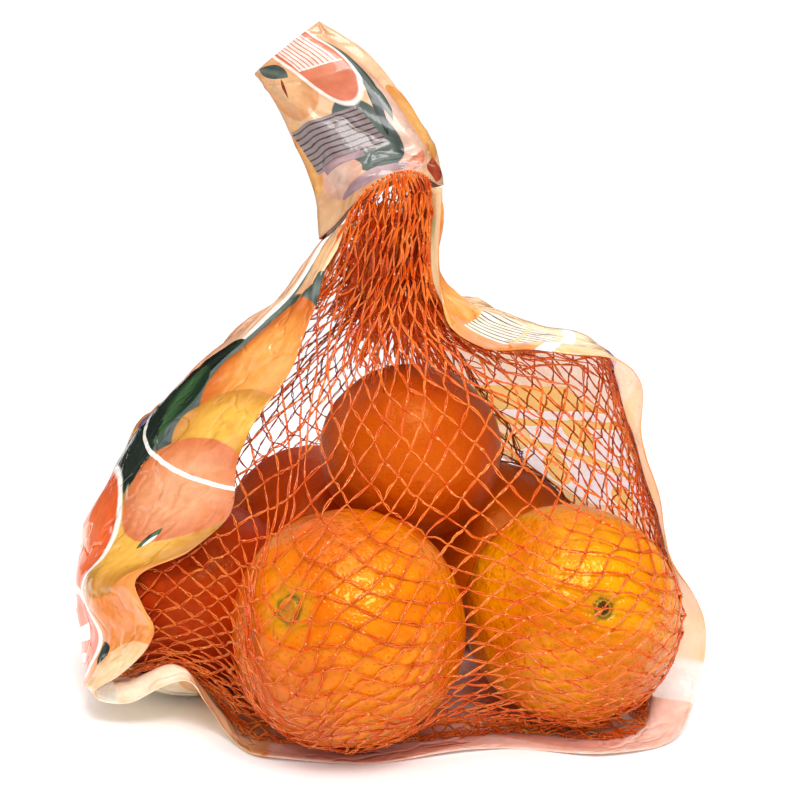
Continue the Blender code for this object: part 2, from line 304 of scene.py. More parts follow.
def film_sheet(front, belly, back, tuck):
    """The film's inner face without its creases."""
    share = np.linspace(0.0, 1.0, FILM_COLUMNS)[None, :, None]
    sheet = (
        (1 - share) * (1 - 2 * share) * front[:, None]
        + 4 * share * (1 - share) * belly[:, None]
        + share * (2 * share - 1) * back[:, None]
    )
    drawn_in = ease(share[..., 0], 0.0, TUCK_REACH[0]) * (1 - ease(share[..., 0], *TUCK_REACH[1:]))
    sheet[..., 0] -= tuck * drawn_in
    route = np.arange(FILM_ROWS)[:, None] / FILM_ROWS
    in_lip = ease(route, *LIP_START) * (1 - ease(route, *LIP_END))
    ramp_up = ease(share[..., 0], 0.0, 0.8 * WELD) * (1 - ease(share[..., 0], 1.6 * WELD, 4.5 * WELD))
    sheet[..., 2] += LIP_RISE * in_lip * ramp_up
    sheet = clear_of_fruit(sheet, PEEL_CLEARANCE)
    sheet[..., 2] = np.maximum(sheet[..., 2], FILM_FLOOR)
    return sheet


def outward(sheet):
    """Unit normals of a film grid, away from the fruit."""
    down = np.gradient(sheet, axis=0)
    over = np.gradient(sheet, axis=1)
    return unit(np.cross(over, down))


def film_creases(along, across, length):
    """How far the creases lift the film off its smooth sheet."""
    from_neck = np.minimum(along, length - along)
    gathered = 1 - ease(from_neck, 0, 75)
    phase = across / 9.5 + 0.5 * np.sin(along / 23.0) + 0.8 * np.sin(across / 31.0)
    pleats = (np.abs(np.sin(phase * math.pi / 2)) - 0.6) * 2.2 * gathered
    crinkles = creases(along, across, 230, 11, (7, 34), (0.8, 3.2), (0.25, 1.0))
    folds = creases(along, across, 60, 12, (20, 55), (4, 9), (0.6, 1.8))
    flat = np.stack((along, across), axis=-1)
    swells = waves(flat, 42.0, 14, 13) * 0.7
    return pleats + crinkles + folds + swells


def add_film(outer, inner, floor):
    """The printed band, creased and with waving edges; its inner face is opaque near the floor."""
    front, belly, back, tuck, length = film_route()
    sheet = film_sheet(front, belly, back, tuck)
    along = np.linspace(0, length, FILM_ROWS)[:, None]
    share = np.linspace(0, 1, FILM_COLUMNS)[None, :]
    along, across = np.broadcast_arrays(along, share * FILM_WIDTH)
    lift = film_creases(along, across, length)
    resting = 1 - ease(sheet[..., 2], 1.0, 14.0)
    inside = 0.35 * ease(np.minimum(share, 1 - share), 0.12, 0.3)
    lift = np.where(lift < 0, lift * inside, lift) * (1 - 0.8 * resting)
    edge = 1 - ease(np.minimum(share, 1 - share) * FILM_WIDTH, 0, 14)
    wave = np.sin(along / 7.5 + 2 * np.sin(along / 40.0)) * 0.8
    shape = sheet + outward(sheet) * (lift + edge * wave * (1 - resting))[..., None]
    shape[..., 2] = np.maximum(shape[..., 2], FILM_FLOOR)
    shape[..., 2] += resting * edge * (0.6 + 0.6 * np.sin(along / 9.0))
    uv = np.stack((along, across), axis=-1)
    faces = grid_faces(FILM_ROWS, FILM_COLUMNS)
    film = add_piece("film_band", shape, faces, (outer, inner, outer, floor), ("film_band",), uv)
    row = np.arange(len(faces)) // (FILM_COLUMNS - 1) / FILM_ROWS
    opaque = (row > OPAQUE_SPAN[0]) & (row < OPAQUE_SPAN[1])
    film.data.polygons.foreach_set("material_index", 2 * opaque.astype(np.int32))
    add_shell(film, FILM_THICKNESS, 1.0)
    return sheet


def add_header(outer, inner):
    """The folded end of the film: a loose roll of film, gathered at the neck and cut across."""
    rows, columns, turns = 72, 210, 1.9
    stations = [(*left, *right, thick) for left, right, thick in HEADER]
    sections = spline(stations, rows)
    roll = np.linspace(0, 1, columns)[None, :]
    rise = np.linspace(0, 1, rows)[:, None]
    turn = math.pi / 2 + 2 * math.pi * turns * roll
    depth = 1 - 0.34 * ease(roll, 0.5, 1.0)
    depth = depth * (1 - 0.05 * roll)
    flat = np.sign(np.sin(turn)) * np.abs(np.sin(turn)) ** 0.75
    pleat = np.abs(np.sin(3.5 * turn + 1.3 * rise + 0.6 * np.sin(2 * turn))) * 0.10
    pleat = pleat * (1 - 0.4 * rise) + 0.03 * np.sin(5 * turn + 6 * rise)
    size = depth * (1 - pleat)
    left, right, thick = sections[:, None, 0:2], sections[:, None, 2:4], sections[:, 4:5]
    middle, half = (left + right) / 2, (right - left) / 2
    plan = middle + half * (np.cos(turn) * size)[..., None]
    hem = (1 - ease(rise, 0, 0.35)) * np.clip(1 - np.cos(turn) ** 2, 0, 1)
    hem = hem * (8.5 + 1.5 * np.cos(turn))
    depth_y = thick * flat * size
    shape = np.stack((plan[..., 0] - 0.12 * hem, depth_y, plan[..., 1] + hem), axis=-1)
    along = rise * 75 * np.ones_like(roll)
    around = roll * 210 * np.ones_like(rise)
    lift = creases(along, around, 120, 31, (5, 22), (0.7, 2.4), (0.2, 0.8))
    normal = outward(shape)
    shape = shape + normal * lift[..., None]
    uv = np.stack((along, around), axis=-1)
    faces = grid_faces(rows, columns)
    header = add_piece("film_header", shape, faces, (outer, inner), ("film_header",), uv)
    add_shell(header, FILM_THICKNESS, 0.0)


# ---------------------------------------------------------------- net

def taut_sheet():
    """Distance from the net's middle to the CAD net's surface, by tilt and turn."""
    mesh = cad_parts["net_body"].data
    points = [vertex.co / MM - Vector(NECK) for vertex in mesh.vertices]
    tree = BVHTree.FromPolygons(points, [tuple(face.vertices) for face in mesh.polygons])
    tilts, turns = 121, 240
    reach = np.zeros((tilts, turns))
    for i in range(tilts):
        for j in range(turns):
            tilt, turn = math.pi * i / (tilts - 1), 2 * math.pi * j / turns
            way = Vector((math.sin(tilt) * math.cos(turn), math.sin(tilt) * math.sin(turn), math.cos(tilt)))
            reach[i, j] = tree.ray_cast(Vector(NET_CENTRE), way)[3]
    return reach


def onto_sheet(points, reach):
    """Move points out or in along rays from the net's middle until they lie on the sheet."""
    offset = points - NET_CENTRE
    distance = np.linalg.norm(offset, axis=-1)
    way = offset / distance[..., None]
    tilts, turns = reach.shape
    tilt = np.arccos(np.clip(way[..., 2], -1, 1)) / math.pi * (tilts - 1)
    turn = (np.arctan2(way[..., 1], way[..., 0]) / (2 * math.pi) * turns) % turns
    low_tilt = np.clip(tilt.astype(int), 0, tilts - 2)
    low_turn = turn.astype(int) % turns
    high_turn = (low_turn + 1) % turns
    u, v = tilt - low_tilt, turn - turn.astype(int)
    there = (
        reach[low_tilt, low_turn] * (1 - u) * (1 - v) + reach[low_tilt + 1, low_turn] * u * (1 - v)
        + reach[low_tilt, high_turn] * (1 - u) * v + reach[low_tilt + 1, high_turn] * u * v
    )
    return NET_CENTRE + way * there[..., None]


def sample(line, shares):
    """Points of a polyline at shares of its length."""
    length = np.concatenate(([0.0], np.cumsum(np.linalg.norm(np.diff(line, axis=0), axis=1))))
    return np.stack([np.interp(shares * length[-1], length, column) for column in line.T], axis=1)


def weld_line(sheet, share):
    """The line on the film's inner face that one net is welded along, left neck to right neck."""
    column = share * (FILM_COLUMNS - 1)
    low = int(column)
    line = sheet[:, low] * (low + 1 - column) + sheet[:, low + 1] * (column - low)
    inward = -(outward(sheet)[:, low])
    return line + inward * WELD_GAP


def gathered(over, down):
    """Places across a net, crowded to the right at the neck and even from halfway down."""
    return over ** (1 - GATHER * (1 - ease(down, 0.04, 0.42)))


def neck_arc(start, end, bulge, count):
    """The gathered top of one net, hidden in the header."""
    share = gathered(np.linspace(0, 1, count), 0.0)[:, None]
    arc = start * (1 - share) + end * share
    swell = np.sin(math.pi * share) ** 0.5
    return arc + swell * np.array((0.0, bulge, 10.0))


def row_places():
    """Share of the way down the net of each row: tall meshes at the neck, low ones at the floor."""
    down = np.linspace(0, 1, 400)
    height = np.interp(down, (0.0, 0.3, 0.5, 0.62, 0.78, 1.0), MESH_HEIGHTS)
    passed = np.concatenate(([0.0], np.cumsum(1 / height[:-1])))
    return np.interp(np.linspace(0, 1, NET_DOWN + 1), passed / passed[-1], down)


def net_grid(sheet, reach, side):
    """One net's full grid: columns from weld to weld, rows from the neck to the floor."""
    line = weld_line(sheet, WELD if side < 0 else 1 - WELD)
    front = film_route()[0]
    corner_left = np.argmin(np.linalg.norm(front - np.array(BAND_LIP[-1][0]), axis=1))
    corner_right = np.argmin(np.linalg.norm(front - np.array(BAND_FLOOR[-1][0]), axis=1))
    down = row_places()
    over = np.linspace(0, 1, NET_ACROSS + 1)
    left = sample(line[: corner_left + 1], down)
    right = sample(line[corner_right:][::-1], down)
    bottom = sample(line[corner_left: corner_right + 1], over)
    top = neck_arc(line[0], line[-1], side * 10.0, NET_ACROSS + 1)
    a = gathered(over[:, None], down[None, :])[..., None]
    b = down[None, :, None]
    grid = (
        (1 - a) * left[None] + a * right[None] + (1 - b) * top[:, None] + b * bottom[:, None]
        - (1 - a) * (1 - b) * top[0] - a * (1 - b) * top[-1] - (1 - a) * b * bottom[0] - a * b * bottom[-1]
    )
    for _ in range(NET_SWEEPS):
        inner = grid[1:-1, 1:-1]
        held = ease(inner[..., 2], 135, 168)[..., None]
        lying = clear_of_fruit(onto_sheet(inner, reach), THREAD_LIFT)
        grid[1:-1, 1:-1] = inner * held + lying * (1 - held)
        for column in range(1, NET_ACROSS):
            grid[column] = sample(grid[column], down)
        for row in range(1, NET_DOWN):
            even = sample(grid[:, row], gathered(over, down[row]))
            grid[:, row] = grid[:, row] * 0.5 + even * 0.5
    return grid


def knot_lattice(grid, random):
    """Every other crossing of the grid is a knot; threads join it to its four neighbours."""
    across, down = grid.shape[0] - 1, grid.shape[1] - 1
    i, j = np.meshgrid(np.arange(across + 1), np.arange(down + 1), indexing="ij")
    used = (i + j) % 2 == 0
    number = np.where(used, np.cumsum(used.ravel()).reshape(used.shape) - 1, -1)
    knots, row, column = grid[used], j[used], i[used]
    pairs = []
    for step in (1, -1):
        first = number[max(0, -step): across + 1 - max(0, step), :-1]
        second = number[max(0, step): across + 1 + min(0, step), 1:]
        both = (first >= 0) & (second >= 0)
        pairs.append(np.stack((first[both], second[both]), axis=1))
    free = (column > 0) & (column < across) & (row > 0) & (row < down)
    knots = knots + random.normal(0, KNOT_STRAY, knots.shape) * free[:, None]
    return clear_of_fruit(knots, THREAD_LIFT), np.concatenate(pairs), row / down, column / across


def tubes(paths, radius, up, first=0):
    """Points and faces of one closed tube along each path; the points are numbered from first."""
    sides = THREAD_SIDES
    count, steps = paths.shape[:2]
    along = unit(np.gradient(paths, axis=1))
    across = unit(np.cross(along, up))
    over = np.cross(across, along)
    turn = 2 * math.pi * np.arange(sides) / sides
    ring = np.cos(turn)[:, None] * across[:, :, None] + np.sin(turn)[:, None] * over[:, :, None]
    points = paths[:, :, None] + ring * radius
    corner = first + np.arange(count * steps * sides).reshape(count, steps, sides)
    after = np.roll(corner, -1, axis=2)
    faces = np.stack((corner[:, :-1], corner[:, 1:], after[:, 1:], after[:, :-1]), axis=-1)
    ends = np.concatenate((corner[:, 0], corner[:, -1, ::-1]))
    return points.reshape(-1, 3), faces.reshape(-1, 4).tolist() + ends.tolist()


def leg_paths(knots, pairs, out, slack, steps, random):
    """The two filaments of each thread: apart in the middle, together at the knots."""
    first, second = knots[pairs[:, 0]], knots[pairs[:, 1]]
    up = unit(out[pairs[:, 0]] + out[pairs[:, 1]])
    side = unit(np.cross(up, second - first))
    share = np.linspace(0, 1, steps + 1)[None, :, None]
    bow = np.sin(math.pi * share)
    count = len(pairs)
    sag = random.normal(0, 0.35, (count, 1, 1)) + random.normal(0, 1, (count, 1, 1)) * slack[:, None, None]
    lift = random.normal(0, 0.12, (count, 1, 1))
    paths = []
    for hand in (-1, 1):
        spread = hand * random.uniform(0.10, 0.36, (count, 1, 1))
        twist = hand * random.uniform(0.1, 0.28, (count, 1, 1)) * np.sin(2 * math.pi * share)
        wiggle = random.normal(0, 0.14, (count, 1, 1)) * np.sin(3 * math.pi * share)
        jitter = random.normal(0, 0.08, (count, 2, 3))
        path = first[:, None] * (1 - share) + second[:, None] * share
        path = path + jitter[:, :1] * (1 - share) + jitter[:, 1:] * share
        path = path + side[:, None] * (bow * (spread + sag) + wiggle)
        path = path + up[:, None] * (bow * lift + twist)
        paths.append(path)
    return np.concatenate(paths), np.concatenate((up, up))


def knot_wraps(knots, out, random):
    """A small turn of thread round each knot."""
    steps = 7
    turn = np.linspace(0, 2 * math.pi * 1.15, steps)[None, :] + random.uniform(0, 6.3, (len(knots), 1))
    level = unit(np.cross(out, np.array((0.0, 0.0, 1.0)) + 0.01))
    upright = np.cross(out, level)
    wide = random.uniform(0.42, 0.62, (len(knots), 1, 1))
    tall = random.uniform(0.55, 0.95, (len(knots), 1, 1))
    path = knots[:, None] + level[:, None] * np.cos(turn)[..., None] * wide
    path = path + out[:, None] * np.sin(turn)[..., None] * 0.45
    path = path + upright[:, None] * tall * np.linspace(-1, 1, steps)[None, :, None] * 0.8
    return path


def add_net(name, grid, steps, finish, replaces):
    """One net: threads of two filaments between knots, each knot wrapped once."""
    random = np.random.default_rng(40 + steps)
    knots, pairs, down, over = knot_lattice(grid, random)
    out = unit(knots - (NET_CENTRE * (1, 1, 0) + knots * (0, 0, 0.55) + np.array((0, 0, 24.0))))
    loose = 0.06 + 0.5 * ease(down, 0.85, 1.0) + 0.25 * ease(down, 0.5, 0.8) * (1 - ease(over, 0.0, 0.25))
    loose += 0.45 * (1 - ease(down, 0.08, 0.28))
    paths, up = leg_paths(knots, pairs, out, loose[pairs[:, 0]], steps, random)
    paths = laid(paths)
    points, faces = tubes(paths, THREAD, up[:, None])
    wraps = laid(knot_wraps(knots, out, random))
    more, more_faces = tubes(wraps, THREAD * 0.85, unit(out)[:, None] + 0.01, len(points))
    add_piece(name, np.concatenate((points, more)), faces + more_faces, (finish,), replaces)


def add_lining(sheet, finish):
    """The part of the net that lies on the film's inner face at the right."""
    rows = np.linspace(*LINING_ROWS, LINING_DOWN + 1) * (FILM_ROWS - 1)
    columns = np.linspace(WELD, 1 - WELD, LINING_ACROSS + 1) * (FILM_COLUMNS - 1)
    inner = sheet - outward(sheet) * LINING_GAP
    grid = inner[rows.astype(int)][:, columns.astype(int)].transpose(1, 0, 2)
    random = np.random.default_rng(71)
    knots, pairs, *_ = knot_lattice(grid, random)
    out = unit(knots - NET_CENTRE)
    paths, up = leg_paths(knots, pairs, out, np.full(len(pairs), 0.5), 4, random)
    paths = laid(paths)
    points, faces = tubes(paths, THREAD, up[:, None])
    add_piece("net_lining", points, faces, (finish,))


def on_grid(grid, across, down):
    """Points of a net's grid at fractional columns and rows."""
    across = np.clip(across, 0, 1) * (NET_ACROSS - 1e-6)
    down = np.clip(down, 0, 1) * (NET_DOWN - 1e-6)
    i, j = across.astype(int), down.astype(int)
    u, v = (across - i)[..., None], (down - j)[..., None]
    upper = grid[i, j] * (1 - u) + grid[i + 1, j] * u
    lower = grid[i, j + 1] * (1 - u) + grid[i + 1, j + 1] * u
    return upper * (1 - v) + lower * v


def add_neck_bundle(grids, finish):
    """Slack net bunched inside the neck: small crumpled loops that run out to the right below."""
    random = np.random.default_rng(51)
    share = np.linspace(0, 1, 18)[None, :]
    parts = []
    for grid in grids:
        count = 240
        start = np.where(random.random(count) < 0.3, random.uniform(0.08, 0.6, count), random.beta(1.5, 0.9, count))
        start = start[:, None]
        end = start + random.normal(0.02, 0.05, (count, 1))
        top = random.uniform(0.0, 0.07, (count, 1))
        bottom = top + random.uniform(0.04, 0.14, (count, 1)) * (0.45 + start)
        across = start * (1 - share) + end * share
        depth = random.uniform(0.45, 0.97, (count, 1))
        path = on_grid(grid, across, top + (bottom - top) * share)
        axis = np.stack((np.full_like(path[..., 0], 2.0), np.zeros_like(path[..., 0]), path[..., 2]), axis=-1)
        path = axis + (path - axis) * depth[..., None]
        for _ in range(2):
            sway = random.normal(0, 1, (count, 3, 3))
            rate = random.uniform(6, 26, (count, 3, 1))
            bends = np.sin(rate * share[:, None] + random.uniform(0, 6, (count, 3, 1)))
            parts.append(path + 0.5 * np.einsum("csk,csn->cnk", sway, bends))
    paths = np.concatenate(parts)
    points, faces = tubes(paths, THREAD, np.array((0.31, -0.95, 0.02)))
    add_piece("net_neck", points, faces, (finish,))


def add_selvedges(grids, finish):
    """Bunched threads that run down the welds on both sides and along the floor."""
    random = np.random.default_rng(61)
    share = np.linspace(0, 1, 160)
    paths = []
    for grid in grids:
        for number in range(18):
            drift = waves(share[:, None] * 260, 24.0, 6, int(random.integers(999)))
            inset = np.abs(random.normal(0, 0.012) + 0.006 * drift)
            if number < 7:
                path = on_grid(grid, inset, share)
            elif number < 14:
                path = on_grid(grid, 1 - inset, share)
            else:
                path = on_grid(grid, share, 1 - inset)
            stray = [waves(share[:, None] * 260, 18.0, 5, int(random.integers(999))) for _ in range(3)]
            paths.append(path + 0.22 * np.stack(stray, axis=1))
    paths = laid(np.array(paths))
    points, faces = tubes(paths, THREAD, unit(paths - NET_CENTRE))
    add_piece("net_selvedge", points, faces, (finish,))


# ---------------------------------------------------------------- oranges

def add_orange(number, finish):
    """A lumpy ball, dimpled at the stem scar."""
    name, _, _, _, tone, steps, scar, scar_radius = ORANGES[number]
    centre, radius = fruit_spheres()[number]
    shape = bmesh.new()
    bmesh.ops.create_icosphere(shape, subdivisions=steps, radius=1.0)
    way = np.array([vertex.co for vertex in shape.verts])
    faces = [[vertex.index for vertex in face.verts] for face in shape.faces]
    shape.free()
    scar = np.array(scar) / np.linalg.norm(scar)
    reach = radius - 0.35 + 0.22 * waves(way * radius, 46.0, 8, 70 + number)
    reach += 0.10 * waves(way * radius, 9.0, 16, 80 + number)
    reach -= 0.5 * np.abs(way @ scar) ** 6
    off = np.linalg.norm(way - scar, axis=1) * radius
    level = unit(np.cross(scar, (0.1, 0.2, 1.0)))
    around = np.arctan2(way @ level, way @ np.cross(scar, level))
    dimple = -1.1 * np.exp(-((off / (scar_radius * 2.2)) ** 2))
    furrows = 0.35 * np.cos(7 * around) * np.exp(-(((off - scar_radius * 1.9) / scar_radius) ** 2))
    button = 0.7 * (1 - ease(off, scar_radius * 0.75, scar_radius * 1.0))
    groove = -0.5 * np.exp(-(((off - scar_radius) / 0.7) ** 2))
    reach += dimple + furrows * 0.5 + button + groove
    add_piece(name, centre + way * reach[:, None], faces, (finish,))


# ---------------------------------------------------------------- materials

def srgb(red, green, blue):
    """A display colour in linear light."""
    channels = np.array((red, green, blue)) / 255
    linear = np.where(channels <= 0.04045, channels / 12.92, ((channels + 0.055) / 1.055) ** 2.4)
    return (*linear.tolist(), 1.0)


def add_node(tree, kind, inputs=(), **settings):
    """A node with its settings, its inputs given as values or as sockets to link."""
    made = tree.nodes.new(kind)
    for key, value in settings.items():
        setattr(made, key, value)
    for key, value in dict(inputs).items():
        if isinstance(value, bpy.types.NodeSocket):
            tree.links.new(value, made.inputs[key])
        else:
            made.inputs[key].default_value = value
    return made


def calculate(tree, operation, *values):
    """The result of a math node."""
    return add_node(tree, "ShaderNodeMath", dict(enumerate(values)), operation=operation).outputs[0]


def blend(tree, factor, first, second, mode="MIX"):
    """The result of mixing two colours."""
    made = add_node(
        tree, "ShaderNodeMix", {0: factor, 6: first, 7: second}, data_type="RGBA", blend_type=mode
    )
    return made.outputs[2]


def ramp(tree, value, low, high, start=0.0, end=1.0):
    """A value mapped smoothly from one range to another."""
    made = add_node(
        tree, "ShaderNodeMapRange",
        {"Value": value, "From Min": low, "From Max": high, "To Min": start, "To Max": end},
        interpolation_type="SMOOTHSTEP",
    )
    return made.outputs[0]


def noise(tree, vector, scale, detail=2.0, roughness=0.5, distortion=0.0):
    """A noise texture's value."""
    made = add_node(
        tree, "ShaderNodeTexNoise",
        {"Vector": vector, "Scale": scale, "Detail": detail, "Roughness": roughness, "Distortion": distortion},
    )
    return made.outputs[0]


def new_material(name, **values):
    """A Principled material and its shader, with values set on the shader's sockets."""
    made = bpy.data.materials.new(name)
    made.use_nodes = True
    shader = made.node_tree.nodes["Principled BSDF"]
    for key, value in values.items():
        shader.inputs[key.replace("_", " ")].default_value = value
    return made, made.node_tree, shader


# Peel tones: colour, lighter mottle colour and roughness. The middle and deep tones are darkened copies of the
# peel, painted shade; the two tones of the back oranges are brightened copies, painted light.
PEEL_TONES = {
    "bright": (srgb(204, 92, 1), srgb(222, 124, 1), 0.25),
    "golden": (srgb(208, 108, 0), srgb(230, 146, 0), 0.25),
    "middle": (srgb(194, 72, 1), srgb(204, 86, 2), 0.44),
    "deep": (srgb(170, 40, 1), srgb(182, 49, 2), 0.44),
    "shade": (srgb(222, 72, 3), srgb(232, 84, 4), 0.44),
    "painted_light_peel": (srgb(244, 102, 3), srgb(250, 116, 5), 0.44),
}


# Colours inside a wide stem scar, and inside a small deep one, whose near-black is partly its own brown and partly
# painted shade of its pit.
SCAR_HEARTS = (
    (srgb(150, 92, 20), srgb(196, 120, 30)),
    (srgb(44, 26, 12), srgb(92, 58, 24)),
)


def peel_material(number):
    """Orange peel: fine oil pores, faint mottling and a stem scar with a green halo."""
    name, _, _, _, tone, _, scar, scar_radius = ORANGES[number]
    centre, radius = fruit_spheres()[number]
    base, light, roughness = PEEL_TONES[tone]
    relief = 0.7 if roughness < 0.3 else 0.35
    made, tree, shader = new_material(
        name, Roughness=roughness, Specular_IOR_Level=0.6 if roughness < 0.3 else 0.4,
        Specular_Tint=(1.0, 0.74, 0.14, 1.0), Coat_Weight=0.12 if roughness < 0.3 else 0.05,
        Coat_Roughness=0.2,
    )
    where = add_node(tree, "ShaderNodeTexCoord").outputs["Object"]
    mottle = ramp(tree, noise(tree, where, 38.0, 3.0), 0.35, 0.68)
    colour = blend(tree, mottle, base, light)
    pores = add_node(tree, "ShaderNodeTexVoronoi", {"Vector": where, "Scale": 620.0})
    # painted shade: the peel is darkened in the pits of the pores
    pit = ramp(tree, pores.outputs["Distance"], 0.06, 0.46)
    shaded = blend(tree, 1.0, colour, (0.95, 0.88, 0.78, 1.0), "MULTIPLY")
    colour = blend(tree, pit, shaded, colour)
    foot = (centre + NECK + np.array(scar) / np.linalg.norm(scar) * radius) * MM
    far = add_node(tree, "ShaderNodeVectorMath", {0: where, 1: foot.tolist()}, operation="DISTANCE")
    off = calculate(tree, "DIVIDE", far.outputs["Value"], scar_radius * MM)
    wander = noise(tree, where, 260.0, 3.0)
    off = calculate(tree, "ADD", off, calculate(tree, "MULTIPLY", calculate(tree, "SUBTRACT", wander, 0.5), 0.7))
    halo = ramp(tree, off, 2.6, 1.1)
    colour = blend(tree, calculate(tree, "MULTIPLY", halo, 0.75), colour, srgb(196, 140, 12))
    ring = calculate(tree, "MULTIPLY", ramp(tree, off, 0.72, 0.9), ramp(tree, off, 1.3, 1.05))
    colour = blend(tree, calculate(tree, "MULTIPLY", ring, 0.85), colour, srgb(92, 84, 26))
    centre_mask = ramp(tree, off, 0.8, 0.6)
    # the small scar's heart is near black: its own brown with painted shade of the pit
    dark, pale = SCAR_HEARTS[scar_radius < 4]
    heart = blend(tree, noise(tree, where, 900.0, 2.0), dark, pale)
    colour = blend(tree, centre_mask, colour, heart)
    tree.links.new(colour, shader.inputs["Base Color"])
    lumps = noise(tree, where, 330.0, 1.5)
    fine = add_node(tree, "ShaderNodeBump", {"Strength": relief, "Distance": 0.00028, "Height": pit})
    coarse = add_node(
        tree, "ShaderNodeBump", {"Strength": relief, "Distance": 0.0012, "Height": lumps, "Normal": fine.outputs[0]}
    )
    tree.links.new(coarse.outputs[0], shader.inputs["Normal"])
    tree.links.new(coarse.outputs[0], shader.inputs["Coat Normal"])
    return made


def net_material(name, dark, light, clear):
    """Glossy orange filament with painted pale glints, that what lies behind it shines through."""
    made, tree, shader = new_material(
        name, Roughness=0.25, Coat_Weight=0.8, Coat_Roughness=0.1, Specular_IOR_Level=0.4,
        Specular_Tint=(1.0, 0.62, 0.35, 1.0), Transmission_Weight=clear, IOR=1.1,
    )
    where = add_node(tree, "ShaderNodeTexCoord").outputs["Object"]
    tint = ramp(tree, noise(tree, where, 120.0, 3.0), 0.35, 0.65)
    colour = blend(tree, tint, dark, light)
    # painted glints: pale specks in the colour stand in for sparkles of reflected light
    glints = ramp(tree, noise(tree, where, 800.0, 1.0), 0.64, 0.72)
    colour = blend(tree, glints, colour, srgb(255, 186, 118))
    tree.links.new(colour, shader.inputs["Base Color"])
    bump = add_node(
        tree, "ShaderNodeBump", {"Strength": 0.6, "Distance": 0.0002, "Height": noise(tree, where, 1500.0, 2.0)}
    )
    tree.links.new(bump.outputs[0], shader.inputs["Normal"])
    return made


# Printed colours: the middle of a motif and its rim.
INKS = {
    "ground": (srgb(238, 174, 96), srgb(224, 142, 64)),
    "fruit": (srgb(232, 164, 84), srgb(206, 116, 40)),
    "peach": (srgb(232, 168, 124), srgb(214, 130, 80)),
    "gold": (srgb(232, 184, 84), srgb(198, 140, 50)),
    "pale": (srgb(246, 214, 176), srgb(238, 190, 140)),
    "cream": (srgb(250, 236, 222), srgb(240, 214, 190)),
    "ivory": (srgb(254, 244, 226), srgb(250, 232, 204)),
    "pink": (srgb(252, 216, 208), srgb(244, 190, 178)),
    "orange": (srgb(240, 128, 56), srgb(232, 110, 40)),
    "ember": (srgb(238, 124, 40), srgb(228, 104, 26)),
    # a pale ink made lighter still: painted light for the brightly lit left side of the film
    "pale_with_painted_light": (srgb(250, 206, 176), srgb(246, 182, 146)),
    "white": (srgb(252, 250, 248), srgb(250, 246, 242)),
    "blush": (srgb(255, 238, 230), srgb(252, 222, 212)),
    "leaf": (srgb(84, 122, 78), srgb(44, 70, 46)),
    "dark_leaf": (srgb(52, 70, 54), srgb(26, 36, 30)),
    "grey_leaf": (srgb(122, 134, 128), srgb(84, 98, 92)),
    "violet": (srgb(150, 136, 186), srgb(98, 82, 146)),
    "brown": (srgb(150, 92, 58), srgb(112, 66, 44)),
    "rust": (srgb(176, 72, 38), srgb(130, 44, 22)),
    "rosy": (srgb(236, 204, 188), srgb(226, 178, 156)),
    "coral": (srgb(236, 158, 124), srgb(226, 136, 102)),
    "mauve": (srgb(206, 176, 180), srgb(176, 148, 158)),
    "amber": (srgb(242, 190, 118), srgb(230, 162, 84)),
    "sand": (srgb(244, 200, 154), srgb(232, 172, 122)),
    "brick": (srgb(212, 104, 60), srgb(190, 78, 44)),
    "stripes": (srgb(252, 238, 232), srgb(230, 146, 118)),
    "ruled_grey": (srgb(170, 154, 154), srgb(92, 82, 90)),
    "ruled_cream": (srgb(236, 224, 208), srgb(98, 92, 98)),
    "beige": (srgb(240, 206, 168), srgb(230, 180, 136)),
    "warm_bars": (srgb(206, 178, 160), srgb(150, 118, 102)),
}

